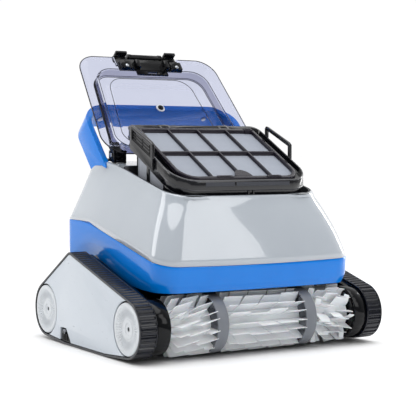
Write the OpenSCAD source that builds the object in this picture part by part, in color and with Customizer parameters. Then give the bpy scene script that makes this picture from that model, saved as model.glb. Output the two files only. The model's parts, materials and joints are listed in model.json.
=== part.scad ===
// Robotic pool cleaner: two rubber tracks, two finned brushes, a two-tone shell,
// a clear lid hinged at the back, and a filter basket that lifts out of a well.
// Millimetres. +Z is up, the front is -Y, and the ground is Z = 0 below the middle.

/* [Body] */
// Width over the two tracks
overall_w = 438; // [420:1:460]
// Half width of the shell at its seam
body_hw = 177; // [172:1:178]
// Half length of the shell at its seam
body_hl = 174; // [168:1:180]
// Corner radius of the shell in plan
body_r = 36; // [30:1:44]
// Wall thickness of the shells
wall = 3; // [2.5:0.1:3.5]
// Half width of the rim round the basket opening
rim_hw = 136; // [135:1:138]
// Height of the rim plane at the middle of the length
rim_z = 271.9; // [270:0.1:274]
// Slope of the rim plane, rising towards the back
rim_slope = 0.25; // [0.24:0.01:0.26]
// Height of the seam plane at the middle of the length
seam_z = 176.4; // [174:0.1:178]
// Slope of the seam, rising towards the back
seam_slope = 0.23; // [0.22:0.01:0.24]
// Height at which the seam levels off behind
seam_top = 196; // [194:1:198]

/* [Tracks] */
// Distance between the front and rear axles
wheel_base = 280; // [278:1:282]
// Height of the axles
axle_z = 49; // [49:0.5:50]
// Radius over the ribs of the track round a wheel
track_r = 44; // [43.5:0.1:44.2]
// Width of a track
track_w = 29; // [28:0.5:30]
// Thickness of the belt under its ribs
belt_t = 2.6; // [2.4:0.1:2.8]
// Height of a rib
rib_h = 1.2; // [1:0.1:1.4]
// Number of ribs round a track
rib_count = 94; // [80:1:100]
// Place of the drive sprocket along the length
apex_y = 50; // [48:1:52]
// Height of the drive sprocket
apex_z = 132; // [130:1:133]
// Radius over the ribs of the track round the sprocket
apex_r = 16; // [15:0.5:17]

/* [Brushes] */
// Radius to the tip of the fins
fin_r = 45; // [43:0.5:45.5]
// Radius of the brush tube
tube_r = 25; // [23:0.5:27]
// Number of fin rows round the tube
fin_rows = 18; // [14:1:20]
// Distance of a ring band from the middle
ring_x = 80; // [76:1:84]
// Width of a ring band
ring_w = 19; // [16:0.5:21]

/* [Lid] */
// Angle of the open lid above the ground
lid_open = 49.5; // [48:0.5:51]
// Place of the lid hinge along the length
hinge_y = 68.4; // [68:0.1:69]
// Height of the lid hinge
hinge_z = 300; // [300:0.1:301]
// Length of the lid from its hinge to its front edge
lid_l = 215; // [212:1:216]
// Half width of the lid at its hinge end
lid_hw = 147; // [145:1:148]
// Half width of the lid at its front edge
lid_front_hw = 136; // [134:1:137]
// Depth of the lid's dome
dome_h = 17; // [15:1:19]

/* [Basket] */
// Half width of the basket's ring
ring_hw = 126; // [124:1:127]
// Slope of the basket's top, rising towards the back
top_slope = 0.532; // [0.52:0.002:0.54]
// Height of the basket's top at the middle of the length
top_z = 328.2; // [327:0.1:329]
// Height of the basket's ring
ring_h = 28; // [26:1:30]
// Height of the basket's floor when lifted
floor_z = 138; // [138:1:142]

/* [Hidden] */
eps = 0.02;
middle_y = 14.1;
half_wb = wheel_base / 2;
track_x1 = overall_w / 2;
track_x0 = track_x1 - track_w;
belt_out = track_r - rib_h;
belt_in = belt_out - belt_t;
wheel_r = belt_in - 0.3;
motor_r = 12.5;
sprocket_r = apex_r - rib_h - belt_t - 0.3;
skid_y = 70;
skid_r = 8;
frame_x0 = 179;
frame_x1 = 187;
cover_x0 = 167;
axle_r = 5;
run_gap = 0.05;
well_hw = 132;
well_front = -129;
well_back = 42;
well_floor = 58;
well_low_front = -88;
well_r = 39.2;
well_back_r = 24;
well_low_r = 20;
well_low_hw = 128;
duct_hw = 56;
duct_hl = 15;
cage_knee_z = 226;
cage_floor_t = 2.4;
well_knee_z = 160;
deck_z = 290;
deck_y = (deck_z - rim_z) / rim_slope;
pump_y = 97;
duct_x = 70;
basket_back = 38;
basket_front = -124;
panel_hw = 110;
top_hinge_y = 32.6;
top_hinge_z = top_z + top_slope * top_hinge_y - 3.4;
lid_under = 8.8;
lid_t = 3;
seal_t = 0.5;
slit = 0.3;
SCREW_X = [-148, 148];
SCREW_Y = [-78, 78];
latch_pin_y = lid_l + 1.5;
latch_pin_z = 2.5;

// The rear shoulder from low to high, as [half width, back edge, bow, height].
SHOULDER = [[149.5, 152, 6, 272], [148, 140, 14.5, 283], [144, 131, 25, 288.8], [138, 128, 30, deck_z]];

// The circles that a track runs round, as [y, z, radius over the ribs], in order.
PULLEYS = [
    [-half_wb, axle_z, track_r],
    [-skid_y, skid_r, skid_r],
    [skid_y, skid_r, skid_r],
    [half_wb, axle_z, track_r],
    [apex_y, apex_z, apex_r]
];

// ---------- outlines ----------

function arc(cx, cy, r, a0, a1, n) =
    [for (i = [0 : n]) let (a = a0 + (a1 - a0) * i / n) [cx + r * cos(a), cy + r * sin(a)]];

// A rounded rectangle from yf to yb whose front and back edges bow out by bow.
function pad(hw, yf, yb, r, bow, n = 8) = concat(
    arc(hw - r, yb - bow - r, r, 0, 86, n),
    [for (k = [0.6, 0, -0.6]) [k * (hw - r), yb - bow * k * k]],
    arc(r - hw, yb - bow - r, r, 94, 180, n),
    arc(r - hw, yf + bow + r, r, 180, 266, n),
    [for (k = [-0.6, 0, 0.6]) [k * (hw - r), yf + bow * k * k]],
    arc(hw - r, yf + bow + r, r, 274, 360, n)
);

// A plain rounded rectangle from yf to yb, with its own corner radius at the back.
function plate(hw, yf, yb, r, n = 8, r_back = 0) =
    let (b = r_back > 0 ? r_back : r)
    concat(
        arc(hw - b, yb - b, b, 0, 90, n), arc(b - hw, yb - b, b, 90, 180, n),
        arc(r - hw, yf + r, r, 180, 270, n), arc(hw - r, yf + r, r, 270, 360, n)
    );

// A thin slice with a given plan, lying on the plane z = z0 + slope * y.
module slice(points, z0, slope = 0) {
    c = cos(atan(slope));
    translate([0, 0, z0]) rotate([atan(slope), 0, 0])
        linear_extrude(eps) polygon([for (p = points) [p[0], p[1] / c]]);
}

// Everything below (side = -1) or above (side = 1) a profile drawn in Y and Z.
module across(profile, w = 500) {
    translate([-w / 2, 0, 0]) rotate([90, 0, 90]) linear_extrude(w) polygon(profile);
}

module below_plane(z0, slope, y0 = -400, y1 = 400) {
    across([[y0, -50], [y1, -50], [y1, z0 + slope * y1], [y0, z0 + slope * y0]]);
}

module above_plane(z0, slope, y0 = -400, y1 = 400) {
    across([[y0, 600], [y0, z0 + slope * y0], [y1, z0 + slope * y1], [y1, 600]]);
}

// A round bar along X between two places.
module bar_x(x0, x1, y, z, r) {
    translate([x0, y, z]) rotate([0, 90, 0]) cylinder(r = r, h = x1 - x0, $fn = 64);
}

// A thin cut through an upright corner, from a below to b above, facing the given way.
module corner_cut(a, b, way) {
    across_cut = [-sin(way), cos(way), 0] * (b - a);
    lean = atan(across_cut / (b[2] - a[2]));
    translate(a) rotate([0, 0, way]) rotate([-lean, 0, 0])
        translate([10, -slit / 2, -1]) cube([60, slit, (b[2] - a[2]) / cos(lean) + 2]);
}

module both_sides() {
    children();
    mirror([1, 0, 0]) children();
}

// ---------- shells ----------

// The outer form of the body, drawn in by g all round.
module body_form(g = 0, top = 0) {
    hull() {
        slice(pad(166 - g, g - 166, 166 - g, body_r - 2, 5), 90);
        slice(pad(body_hw - 0.5 - g, g + 1 - body_hl, body_hl - 1 - g, body_r, 6), 128);
        intersection() {
            slice(pad(body_hw - g, g - body_hl, body_hl - g, body_r, 6), seam_z, seam_slope);
            translate([-250, -250, 0]) cube([500, 250 + 84, 400]);
        }
        slice(pad(body_hw - g, -60, body_hl - g, body_r + 8, 6), seam_top);
        intersection() {
            union() {
                slice(pad(rim_hw + 2.5 - g, g - 137.5, 120, body_r, 5), rim_z - 6 - top, rim_slope);
                slice(pad(rim_hw - g, g - 135, 120, body_r, 5), rim_z - top, rim_slope);
            }
            translate([-250, deck_y - 400, 0]) cube([500, 400, 400]);
        }
        for (s = SHOULDER) intersection() {
            slice(pad(s[0] - g, -100, s[1] - g, body_r - 6, s[2]), s[3] - top);
            translate([-250, deck_y + 4, 0]) cube([500, 300, 400]);
        }
    }
}

// The profile of the seam between the two shells, rising and then levelling off.
function seam_profile(z_end) = concat(
    [[-260, z_end], [-260, seam_z - 260 * seam_slope]],
    [for (t = [0 : 0.125 : 1])
        let (y = 55 + 50 * t, lean = seam_slope * (t - t * t / 2) * 50)
        [y, seam_z + 55 * seam_slope + lean]],
    [[260, seam_z + 80 * seam_slope], [260, z_end]]
);

module shell_skin(top) {
    difference() {
        body_form();
        body_form(wall, top);
    }
}

function well_plan(g) =
    plate(well_hw + g, well_front - g, well_back + g, well_r + g, 8, well_back_r + g);

module rim_opening(g = 0) {
    linear_extrude(600) polygon(well_plan(2.8 + g));
}

module upper_shell() {
    color("#ccd2d8") difference() {
        intersection() {
            shell_skin(wall);
            across(seam_profile(600));
        }
        rim_opening();
        translate([0, pump_y, 200]) cylinder(r = 25.3, h = 200, $fn = 96);
    }
}

module lower_shell() {
    color("#0a78dc") difference() {
        intersection() {
            shell_skin(wall);
            across(seam_profile(-50));
            across([
                [-260, 96], [-150, 104], [-82, 104.5], [-66, 108], [48, 144], [58, 146],
                [68, 142.5], [150, 104], [260, 92], [260, 400], [-260, 400]
            ]);
        }
        translate([112, 150, 150]) rotate([-90, 0, 0]) cylinder(r = 9, h = 60, $fn = 64);
        both_sides() for (k = [-1, 1])
            corner_cut([140, k * 137, 60], [140, k * 137, 260], k * 45);
    }
}

// ---------- chassis ----------

module chassis_tub() {
    color("#23252b") difference() {
        union() {
            translate([-158, -88, 14]) cube([316, 176, 84]);
            translate([0, 0, 98]) linear_extrude(3) polygon(plate(164, -156, 156, 34));
            both_sides() translate([161, 0, 0]) rotate([90, 0, 90]) linear_extrude(3) polygon([
                [-132, 98.5], [132, 98.5], [126, 120], [62, 152], [48, 150], [-132, 112]
            ]);
            both_sides() for (y = [-60, 60]) bar_x(157, frame_x0, y, 70, 9);
        }
        translate([-155, -85, 13]) cube([310, 170, 94]);
        both_sides() bar_x(150, 170, apex_y, apex_z, motor_r);
        well_form(2.6);
    }
    color("#23252b") for (x = SCREW_X, y = SCREW_Y) translate([x, y, 14]) difference() {
        cylinder(r = 8, h = 20, $fn = 48);
        translate([0, 0, -1]) cylinder(r = 2, h = 30, $fn = 32);
    }
}

module base_plate() {
    color("#2c2e34") difference() {
        translate([0, 0, 10]) linear_extrude(4) polygon(plate(156, -86, 86, 14));
        both_sides() translate([duct_x - duct_hw, -duct_hl, 0])
            cube([2 * duct_hw, 2 * duct_hl, 30]);
        for (x = SCREW_X, y = SCREW_Y) translate([x, y, 0]) cylinder(r = 2.2, h = 30, $fn = 32);
    }
}

module base_screws() {
    color("#9a9fa6") for (x = SCREW_X, y = SCREW_Y) translate([x, y, 8]) {
        cylinder(r = 4, h = 2, $fn = 32);
        translate([0, 0, 1.9]) cylinder(r = 2, h = 18, $fn = 32);
    }
}

// Two upright ducts that lead from the base plate to the floor of the well.
module inlet_ducts() {
    color("#34363d") both_sides() difference() {
        translate([duct_x - 59, -18, 14]) cube([118, 36, well_floor - 2.6 - 14]);
        translate([duct_x - duct_hw, -duct_hl, 0])
            cube([2 * duct_hw, 2 * duct_hl, 80]);
        translate([duct_x - 58, -11, 18.5]) rotate([0, 90, 0]) cylinder(r = 1.55, h = 116, $fn = 32);
    }
}

// A valve flap lying shut across a duct, hung on its own pins.
module inlet_flap(side) {
    color("#4a4d55") translate([side * duct_x, 0, 0]) {
        translate([-54.5, -11, 17.4]) cube([109, 24.5, 2]);
        translate([-57.5, -11, 18.5]) rotate([0, 90, 0]) cylinder(r = 1.5, h = 115, $fn = 32);
        for (x = [-40, -20, 0, 20, 40]) translate([x - 0.8, -8, 19.3]) cube([1.6, 20, 2.2]);
    }
}

// ---------- filter well ----------

module well_form(g) {
    intersection() {
        union() {
            hull() {
                slice(plate(well_low_hw + g, well_low_front - g, well_back + g, well_low_r + g), well_floor - g);
                slice(well_plan(g), well_knee_z);
            }
            translate([0, 0, well_knee_z]) linear_extrude(200) polygon(well_plan(g));
        }
        below_plane(rim_z + 0.4, rim_slope);
    }
}

// The well is moulded as flat walls and floor strips, set edge to edge.
module filter_well() {
    low_front = [well_low_hw - well_low_r, well_low_front + well_low_r, well_floor + 1.2];
    top_front = [well_hw - well_r, well_front + well_r, well_knee_z];
    back = [well_hw - well_back_r, well_back - well_back_r, well_floor + 1.2];
    color("#5d6068") difference() {
        intersection() {
            well_form(2.6);
            below_plane(rim_z, rim_slope);
        }
        translate([0, 0, 0.01]) well_form(0);
        both_sides() translate([duct_x - duct_hw, -duct_hl, 0])
            cube([2 * duct_hw, 2 * duct_hl, 80]);
        for (x = [-60, -20, 20]) translate([x, well_back - 5, 90]) cube([38, 20, 60]);
        both_sides() corner_cut(low_front, top_front, -45);
        both_sides() corner_cut(top_front, top_front + [0, 0, 150], -45);
        both_sides() corner_cut(back, back + [0, 0, 300], 45);
        translate([-250, -250, well_knee_z]) cube([500, 500, slit]);
        for (y = [-duct_hl - 200, duct_hl]) translate([-200, y, well_floor]) cube([400, 200, slit]);
        for (y = [-duct_hl - slit, duct_hl - eps])
            translate([-200, y, well_floor - 5]) cube([400, slit + eps, 5 + slit]);
    }
}

module lid_seal() {
    color("#1b1c20") intersection() {
        difference() {
            linear_extrude(600) polygon(well_plan(2.5));
            linear_extrude(600) polygon(well_plan(0.6));
        }
        above_plane(rim_z + 0.05, rim_slope);
        below_plane(rim_z + seal_t, rim_slope);
    }
}

// ---------- carry handle and lid hinge ----------

handle_foot_y = 98;
handle_foot_z = 288;
handle_lean = 47;
handle_hw = 148;
handle_l = 112;
handle_w = 42;

module in_handle_frame() {
    translate([0, handle_foot_y, handle_foot_z]) rotate([handle_lean, 0, 0]) children();
}

module carry_handle() {
    color("#0a78dc") difference() {
        in_handle_frame() translate([0, 0, -handle_w / 2]) linear_extrude(handle_w)
            difference() {
                polygon(plate(handle_hw, -70, handle_l, 44, 10));
                polygon(plate(handle_hw - 9, -90, handle_l - 10, 36, 10));
                translate([-200, -120]) square([400, 84]);
            }
        body_form();
        both_sides() in_handle_frame() translate([98, 108, 0])
            rotate([90, 0, 0]) cylinder(r = 2.3, h = 12, $fn = 32);
    }
}

module handle_screws() {
    color("#b9bfc6") both_sides() in_handle_frame() translate([98, 101.9, 0]) rotate([90, 0, 0]) {
        cylinder(r = 4, h = 1.6, $fn = 32);
        translate([0, 0, -5.8]) cylinder(r = 2.1, h = 5.9, $fn = 32);
    }
}

module hinge_brackets() {
    color("#202126") both_sides() difference() {
        union() {
            for (x = [112.5, 131]) translate([x, hinge_y - 9, 280]) cube([4, 18, 27.5]);
            translate([112.5, hinge_y - 4, 280]) cube([22.5, 23, 14.5]);
        }
        body_form(-eps, -3 * eps);
        bar_x(105, 145, hinge_y, hinge_z, 2.5);
        bar_x(116.5, 131, hinge_y, hinge_z, 10.6);
    }
}

module hinge_pins() {
    color("#8d9299") both_sides() {
        bar_x(112, 135.5, hinge_y, hinge_z, 2.5);
        bar_x(135.4, 136.6, hinge_y, hinge_z, 3.6);
    }
}

// ---------- tracks ----------

// Points of the tight loop round the pulleys, drawn in by g.
function hull_angle(a, b) =
    let (dy = b[0] - a[0], dz = b[1] - a[1], d = norm([dy, dz]))
    atan2(dz, dy) - 90 + asin((a[2] - b[2]) / d);

function turn(a, b) = b < a ? b + 360 : b;

function loop_points(g, step = 7.5) = [
    for (i = [0 : len(PULLEYS) - 1])
        let (
            n = len(PULLEYS),
            p = PULLEYS[i],
            a0 = hull_angle(PULLEYS[(i + n - 1) % n], p),
            a1 = turn(a0, hull_angle(p, PULLEYS[(i + 1) % n])),
            m = max(1, ceil((a1 - a0) / step))
        )
        for (k = [0 : m])
            let (a = a0 + (a1 - a0) * k / m)
            [p[0] + (p[2] - g) * cos(a), p[1] + (p[2] - g) * sin(a)]
];

module loop_plate(g, x0, x1) {
    translate([x0, 0, 0]) rotate([90, 0, 90]) linear_extrude(x1 - x0) polygon(loop_points(g));
}

// Places and directions at equal steps along the loop, for the ribs.
function run_lengths(pts) = [for (i = [0 : len(pts) - 1]) norm(pts[(i + 1) % len(pts)] - pts[i])];
function sums(v, i = 0, s = 0) = i == len(v) ? [s] : concat([s], sums(v, i + 1, s + v[i]));
function spot(pts, cum, s, i = 0) = s <= cum[i + 1] || i == len(pts) - 1
    ? let (a = pts[i], b = pts[(i + 1) % len(pts)], t = (s - cum[i]) / (cum[i + 1] - cum[i]))
        [a + (b - a) * t, atan2((b - a)[1], (b - a)[0])]
    : spot(pts, cum, s, i + 1);

module track(side) {
    pts = loop_points(rib_h);
    cum = sums(run_lengths(pts));
    total = cum[len(pts)];
    color("#1d2233") mirror([side < 0 ? 1 : 0, 0, 0]) translate([track_x0, 0, 0])
        rotate([90, 0, 90]) linear_extrude(track_w) difference() {
            union() {
                polygon(pts);
                for (k = [0 : rib_count - 1])
                    let (s = spot(pts, cum, total * (k + 0.5) / rib_count))
                    translate(s[0]) rotate(s[1]) translate([-1.7, -rib_h]) square([3.4, rib_h + 1]);
            }
            polygon(loop_points(rib_h + belt_t));
        }
}

module wheel(side, y) {
    color("#22252c") mirror([side < 0 ? 1 : 0, 0, 0]) difference() {
        bar_x(track_x0 + 0.6, track_x1 - 3.4, y, axle_z, wheel_r);
        bar_x(track_x0 - 5, track_x1, y, axle_z, axle_r + run_gap);
        for (a = [0 : 60 : 300])
            translate([0, y, axle_z]) rotate([a, 0, 0]) bar_x(track_x0, track_x1, 0, 23, 8);
        bar_x(track_x1 - 9, track_x1, y, axle_z, 34);
    }
}

// The pale dished disc on the outside of a wheel.
module hub(side, y) {
    color("#d2d6da") mirror([side < 0 ? 1 : 0, 0, 0]) translate([track_x1 - 3.4, y, axle_z])
        rotate([0, 90, 0]) rotate_extrude($fn = 96) polygon([
            [2.6, -3.8], [20, -3.2], [33.5, 0], [wheel_r, 0], [wheel_r, 2],
            [wheel_r - 1.2, 2.9], [wheel_r - 5, 2.9], [21, -0.6], [9, -1.2], [2.6, -1.2]
        ]);
}

module wheel_axles() {
    color("#aab0b7") both_sides() for (y = [-half_wb, half_wb])
        bar_x(153, track_x1 - 10, y, axle_z, axle_r);
}

module drive_sprocket(side) {
    color("#3a3d45") mirror([side < 0 ? 1 : 0, 0, 0]) {
        bar_x(track_x0 + 1, track_x1 - 6.5, apex_y, apex_z, sprocket_r);
        bar_x(161, track_x0 + 1.1, apex_y, apex_z, 4);
    }
}

module side_frame(side) {
    color("#1d1e23") mirror([side < 0 ? 1 : 0, 0, 0]) difference() {
        union() {
            loop_plate(rib_h + belt_t + 1.5, frame_x0, frame_x1);
            for (y = [-half_wb, half_wb]) bar_x(cover_x0, frame_x1 + 1, y, axle_z, 41);
            for (y = [-half_wb, half_wb]) bar_x(cover_x0 - 3, frame_x1, y, axle_z, 36);
            translate([frame_x1 - 1, 5 - skid_y, 4.6]) cube([track_x1 - 5 - frame_x1, 2 * skid_y - 10, 8]);
            for (p = [[-62, 50], [62, 50], [0, 96]]) bar_x(frame_x1 - 1, track_x1 - 4.5, p[0], p[1], 7);
        }
        for (y = [-half_wb, half_wb]) bar_x(100, 250, y, axle_z, axle_r);
        bar_x(100, 250, apex_y, apex_z, 4 + run_gap);
        for (y = [-half_wb, half_wb]) bar_x(100, cover_x0 + 12, y, axle_z, 13);
        translate([frame_x0 - 1, -50, 24]) cube([3, 100, 60]);
    }
}

module side_panel(side) {
    color("#cdd3da") mirror([side < 0 ? 1 : 0, 0, 0]) difference() {
        loop_plate(rib_h + belt_t + 0.6, track_x1 - 4.5, track_x1 - 0.5);
        for (y = [-half_wb, half_wb]) bar_x(150, 260, y, axle_z, wheel_r + 1.4);
        translate([150, 0, 0]) rotate([90, 0, 90]) linear_extrude(100)
            polygon([[86, -10], [86, 26], [64, 26], [45, 2], [45, -10]]);
    }
}

module drive_motor(side) {
    color("#6c7078") mirror([side < 0 ? 1 : 0, 0, 0]) difference() {
        union() {
            bar_x(139, 168, apex_y, apex_z, motor_r);
            bar_x(167.9, 174, apex_y, apex_z, 9);
        }
        bar_x(160, 180, apex_y, apex_z, 4 + run_gap);
    }
}

// ---------- brushes ----------

module brush_tube(y) {
    color("#2a2c33") difference() {
        union() {
            bar_x(-162, 162, y, axle_z, tube_r);
            both_sides() bar_x(161, 176, y, axle_z, 12);
        }
        bar_x(-200, 200, y, axle_z, axle_r + run_gap);
        bar_x(-152, 152, y, axle_z, tube_r - 4);
    }
}

// One finned sleeve between x0 and x1.
module fin_sleeve(x0, x1, y) {
    difference() {
        union() {
            bar_x(x0, x1, y, axle_z, tube_r + 2);
            for (k = [0 : fin_rows - 1]) translate([x0, y, axle_z]) rotate([360 * k / fin_rows, 0, 0])
                translate([0, -0.7, tube_r + 1]) cube([x1 - x0, 1.4, fin_r - tube_r - 1]);
        }
        bar_x(-200, 200, y, axle_z, tube_r);
    }
}

module brush_fins(y) {
    color("#d9dcdf") {
        fin_sleeve(ring_x + ring_w / 2 + 0.5, 161, y);
        fin_sleeve(ring_w / 2 + 0.5 - ring_x, ring_x - ring_w / 2 - 0.5, y);
        fin_sleeve(-161, -ring_x - ring_w / 2 - 0.5, y);
    }
}

module brush_rings(y) {
    color("#8a8e94") both_sides() translate([ring_x, y, axle_z]) difference() {
        union() {
            translate([-ring_w / 2, 0, 0]) rotate([0, 90, 0]) difference() {
                cylinder(r = fin_r - 0.2, h = ring_w, $fn = 96);
                translate([0, 0, -1]) cylinder(r = fin_r - 2.4, h = ring_w + 2, $fn = 96);
            }
            for (a = [0 : 60 : 300]) rotate([a, 0, 0])
                translate([-5, -1.2, tube_r + 1]) cube([10, 2.4, fin_r - tube_r - 2]);
            translate([-ring_w / 2, 0, 0]) rotate([0, 90, 0]) cylinder(r = tube_r + 2, h = ring_w, $fn = 96);
        }
        translate([-ring_w, 0, 0]) rotate([0, 90, 0]) cylinder(r = tube_r, h = 2 * ring_w, $fn = 96);
    }
}

// ---------- pump ----------

module pump_motor() {
    color("#6c7078") translate([0, pump_y, 0]) difference() {
        union() {
            translate([0, 0, 104]) cylinder(r = 22, h = 76, $fn = 96);
            translate([0, 0, 179.9]) cylinder(r = 14, h = 8, $fn = 64);
            translate([0, 0, 101]) cylinder(r = 30, h = 3.1, $fn = 96);
        }
        translate([0, 0, 176]) cylinder(r = 3 + run_gap, h = 20, $fn = 48);
    }
}

module impeller() {
    color("#3f7fbf") translate([0, pump_y, 0]) {
        translate([0, 0, 177]) cylinder(r = 3, h = 30, $fn = 48);
        translate([0, 0, 206]) cylinder(r = 9, h = 16, $fn = 64);
        for (a = [0 : 90 : 270]) rotate([0, 0, a]) translate([0, -1.2, 214]) rotate([32, 0, 0])
            translate([7, 0, -7]) cube([15, 2.2, 14]);
    }
}

module outlet_duct() {
    color("#50545c") translate([0, pump_y, 196]) difference() {
        cylinder(r = 27, h = deck_z - wall - 196, $fn = 96);
        translate([0, 0, -1]) cylinder(r = 24, h = 300, $fn = 96);
    }
}

// A round louvred grille set into the rear deck.
module outlet_grille() {
    color("#2a2c32") translate([0, pump_y, deck_z - wall]) difference() {
        cylinder(r = 25, h = wall + 0.8, $fn = 96);
        difference() {
            translate([0, 0, -1]) cylinder(r = 22.5, h = 20, $fn = 96);
            for (x = [-20 : 8 : 20]) translate([x - 1, -40, -5]) cube([2, 80, 40]);
            translate([-40, -1.2, -5]) cube([80, 2.4, 40]);
        }
    }
}

module control_box() {
    color("#4c5058") translate([-134, 62, 101]) difference() {
        cube([92, 66, 42]);
        translate([46, 33, 38]) cylinder(r = 3, h = 10, $fn = 32);
    }
}

module cable_gland() {
    color("#1f2025") translate([112, 0, 150]) rotate([-90, 0, 0]) difference() {
        union() {
            translate([0, 0, 152]) cylinder(r = 8.7, h = 26, $fn = 64);
            translate([0, 0, 171.6]) cylinder(r = 11.5, h = 3, $fn = 6);
        }
        translate([0, 0, 140]) cylinder(r = 3.7, h = 60, $fn = 48);
    }
}

// ---------- lid ----------
// Lid frame: X across, Y from the hinge to the front edge, +Z on the side that faces
// the basket when the lid is shut.

module in_lid_frame() {
    translate([0, hinge_y, hinge_z]) rotate([lid_open, 0, 0]) children();
}

function lid_outline(g, y0, y1, r0, r1, n = 8) =
    let (
        w0 = lid_hw - g, w1 = lid_front_hw - g
    )
    concat(
        arc(w1 - r1, y1 - r1, r1, 3, 90, n), arc(r1 - w1, y1 - r1, r1, 90, 177, n),
        arc(r0 - w0, y0 + r0, r0, 183, 270, n), arc(w0 - r0, y0 + r0, r0, 270, 357, n)
    );

module lid_cover() {
    z1 = lid_under;
    z0 = z1 - lid_t;
    color([0.78, 0.8, 0.9, 0.45]) in_lid_frame() difference() {
        union() {
            translate([0, 0, z0]) linear_extrude(lid_t) polygon(lid_outline(0, -4, lid_l, 40, 36));
            translate([0, 0, z0 - dome_h]) linear_extrude(dome_h + 1)
                polygon(lid_outline(26, 10, lid_l - 28, 26, 30));
        }
        translate([0, 0, z0 - dome_h + lid_t]) linear_extrude(dome_h + 20)
            polygon(lid_outline(29, 13, lid_l - 31, 24, 27));
        both_sides() translate([111.2, -30, z0 - 5]) cube([25, 43.5, 20]);
        both_sides() translate([117, 0, z0 - 20]) cube([13.5, 22.2, 20]);
        translate([-62, lid_l - 18, z0 - 5]) cube([124, 30, 20]);
    }
}

// The black arms that carry the lid on its pins.
module lid_hinge_arms() {
    color("#202126") in_lid_frame() both_sides() difference() {
        union() {
            bar_x(117.2, 130.3, 0, 0, 6);
            translate([117.2, 0, -6]) cube([13.1, 22, 6.5]);
            translate([117.2, 3, -1]) cube([13.1, 19, lid_under - lid_t + 1]);
        }
        bar_x(110, 140, 0, 0, 2.5 + run_gap);
    }
}

module lid_vent() {
    color("#b9bdc6") in_lid_frame() translate([0, 112, lid_under - lid_t - dome_h + lid_t]) {
        cylinder(r = 7, h = 3, $fn = 48);
        translate([0, 0, 2.9]) cylinder(r = 3.5, h = 3, $fn = 48);
    }
}

// The carrier of the latch: a plate inside the lid and a beam along its front edge.
module latch_base() {
    color("#17181c") in_lid_frame() difference() {
        union() {
            translate([-61.5, lid_l - 33, lid_under]) cube([123, 18, 4.2]);
            translate([-30, lid_l - 43, lid_under]) cube([60, 12, 3.4]);
            translate([-61.5, lid_l - 17.8, lid_under - 6]) cube([123, 2.8, 10.2]);
            translate([-61.5, lid_l - 17.8, lid_under - 6]) cube([123, 12.3, 5.8]);
            both_sides() for (x = [34.5, 59]) translate([x, lid_l - 6, latch_pin_z - 3.4]) cube([2.5, 11, 6.2]);
            both_sides() translate([38, lid_l - 33, lid_under + 4]) cube([22, 16, 5]);
            both_sides() translate([24, lid_l - 33, lid_under + 4]) cube([8, 16, 9]);
        }
        translate([-10, lid_l - 40, lid_under - 1]) cube([20, 4, 30]);
        both_sides() translate([49, lid_l - 29, lid_under + 4]) cylinder(r = 1.7, h = 20, $fn = 24);
        bar_x(-80, 80, latch_pin_y, latch_pin_z, 1.5);
        both_sides() translate([20, lid_l - 30, lid_under - 3]) rotate([-90, 0, 0])
            cylinder(r = 2 + run_gap, h = 40, $fn = 32);
    }
}

module latch_pin() {
    color("#8d9299") in_lid_frame() both_sides() bar_x(34.2, 61.8, latch_pin_y, latch_pin_z, 1.5);
}

module latch_screws() {
    color("#b9bfc6") in_lid_frame() both_sides() translate([49, lid_l - 29, lid_under + 9]) {
        cylinder(r = 3.2, h = 1.6, $fn = 32);
        translate([0, 0, -4.8]) cylinder(r = 1.6, h = 4.9, $fn = 24);
    }
}

// The push bar along the front edge that swings both hooks out.
module latch_button() {
    color("#1d1e23") in_lid_frame() {
        translate([-32, lid_l - 2, lid_under - 8]) cube([64, 8, 9]);
        both_sides() bar_x(27, 33, lid_l + 3.6, lid_under - 3.5, 5.6);
        both_sides() translate([20, lid_l - 10, lid_under - 3]) rotate([-90, 0, 0])
            cylinder(r = 2, h = 9, $fn = 32);
    }
}

// A clip that drops over the front of the rim.
module latch_hook(side) {
    color("#1d1e23") in_lid_frame() mirror([side < 0 ? 1 : 0, 0, 0]) difference() {
        union() {
            bar_x(37.4, 58.6, latch_pin_y, latch_pin_z, 3.4);
            translate([37.4, latch_pin_y, latch_pin_z - 3.4]) cube([21.2, 6, 5]);
            translate([37.4, latch_pin_y + 1.4, latch_pin_z]) cube([21.2, 4.6, 14]);
        }
        bar_x(30, 70, latch_pin_y, latch_pin_z, 1.5 + run_gap);
    }
}

// ---------- basket ----------

module between_top_planes(z_low, z_high) {
    intersection() {
        children();
        above_plane(z_low, top_slope);
        below_plane(z_high, top_slope);
    }
}

module basket_plan(g, y_back = basket_back) {
    polygon(plate(ring_hw - g, basket_front + g, y_back - g, 40 - g, 8, max(3, 16 - g)));
}

module basket_ring() {
    color("#26272d") {
        between_top_planes(top_z - 16, top_z - 1) difference() {
            linear_extrude(500) basket_plan(0);
            linear_extrude(500) basket_plan(2.5);
        }
        between_top_planes(top_z - ring_h - 1, top_z - 15.5) difference() {
            linear_extrude(500) basket_plan(1.5);
            linear_extrude(500) basket_plan(6.5);
        }
        between_top_planes(top_z - 13, top_z - 10) difference() {
            linear_extrude(500) basket_plan(2);
            linear_extrude(500) basket_plan(17);
        }
        both_sides() intersection() {
            difference() {
                translate([46, top_hinge_y - 2.4, 300]) cube([20, 10, 60]);
                translate([49.8, top_hinge_y - 5, 300]) cube([12.4, 8.4, 70]);
            }
            above_plane(top_z - 11, top_slope);
            below_plane(top_z - 0.5, top_slope);
        }
        both_sides() bar_x(49, 63, top_hinge_y, top_hinge_z, 1.2);
    }
}

module cage_form(g) {
    hull() {
        slice(plate(114 - g, -78 + g, basket_back - 2 - g, 16), floor_z + g);
        slice(plate(121 - g, -119 + g, basket_back - 2 - g, 36 - g), cage_knee_z);
    }
    intersection() {
        translate([0, 0, cage_knee_z - 1]) linear_extrude(200)
            polygon(plate(121 - g, -119 + g, basket_back - 2 - g, 36 - g));
        below_plane(top_z - ring_h - 1, top_slope);
    }
}

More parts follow.
